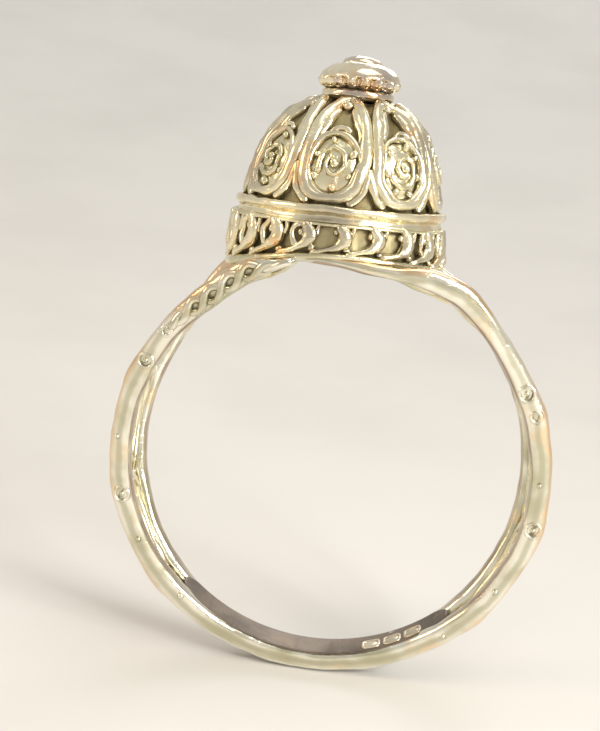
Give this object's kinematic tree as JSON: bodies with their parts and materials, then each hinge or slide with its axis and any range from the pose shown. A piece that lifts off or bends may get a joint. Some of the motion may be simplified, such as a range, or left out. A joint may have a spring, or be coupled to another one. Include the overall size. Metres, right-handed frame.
{
  "type": "finger ring",
  "caption": "Slender silver finger ring with a forked openwork shank and a domed filigree head with a button finial.",
  "frame": {"origin": "centre of the finger hole, on its axis and midway along its length", "axes": "+Z from the finger hole through the head to the finial, Y along the finger, -Y the front, X across the hoop"},
  "size_m": [0.0196, 0.0096, 0.028],
  "materials": {
    "silver": "polished sterling silver with light wear",
    "dark_silver": "tarnished, oxidised silver in the recesses"
  },
  "bodies": {
    "root": {"back_rail": "silver", "base_ring": "silver", "collar": "silver", "dome_shell": "dark_silver", "drum_scroll_01": "silver", "drum_scroll_02": "silver", "drum_scroll_03": "silver", "drum_scroll_04": "silver", "drum_scroll_05": "silver", "drum_scroll_06": "silver", "drum_scroll_07": "silver", "drum_scroll_08": "silver", "drum_scroll_09": "silver", "drum_scroll_10": "silver", "drum_scroll_11": "silver", "drum_scroll_12": "silver", "drum_scroll_13": "silver", "drum_scroll_14": "silver", "drum_scroll_15": "silver", "drum_scroll_16": "silver", "drum_scroll_17": "silver", "drum_scroll_18": "silver", "drum_scroll_19": "silver", "drum_scroll_20": "silver", "drum_wall": "dark_silver", "finial_cap": "silver", "finial_knob": "silver", "finial_pin": "silver", "front_rail": "silver", "left_loop_1": "silver", "left_loop_2": "silver", "left_loop_3": "silver", "left_loop_4": "silver", "lower_rim": "silver", "petal_frame_1": "silver", "petal_frame_2": "silver", "petal_frame_3": "silver", "petal_frame_4": "silver", "petal_frame_5": "silver", "petal_frame_6": "silver", "petal_frame_7": "silver", "petal_frame_8": "silver", "right_loop_1": "silver", "right_loop_2": "silver", "right_loop_3": "silver", "right_loop_4": "silver", "rosette_1": "silver", "rosette_2": "silver", "rosette_3": "silver", "rosette_4": "silver", "rosette_5": "silver", "rosette_6": "silver", "rosette_7": "silver", "rosette_8": "silver", "upper_rim": "silver", "waist_band": "silver"}
  },
  "joints": []
}
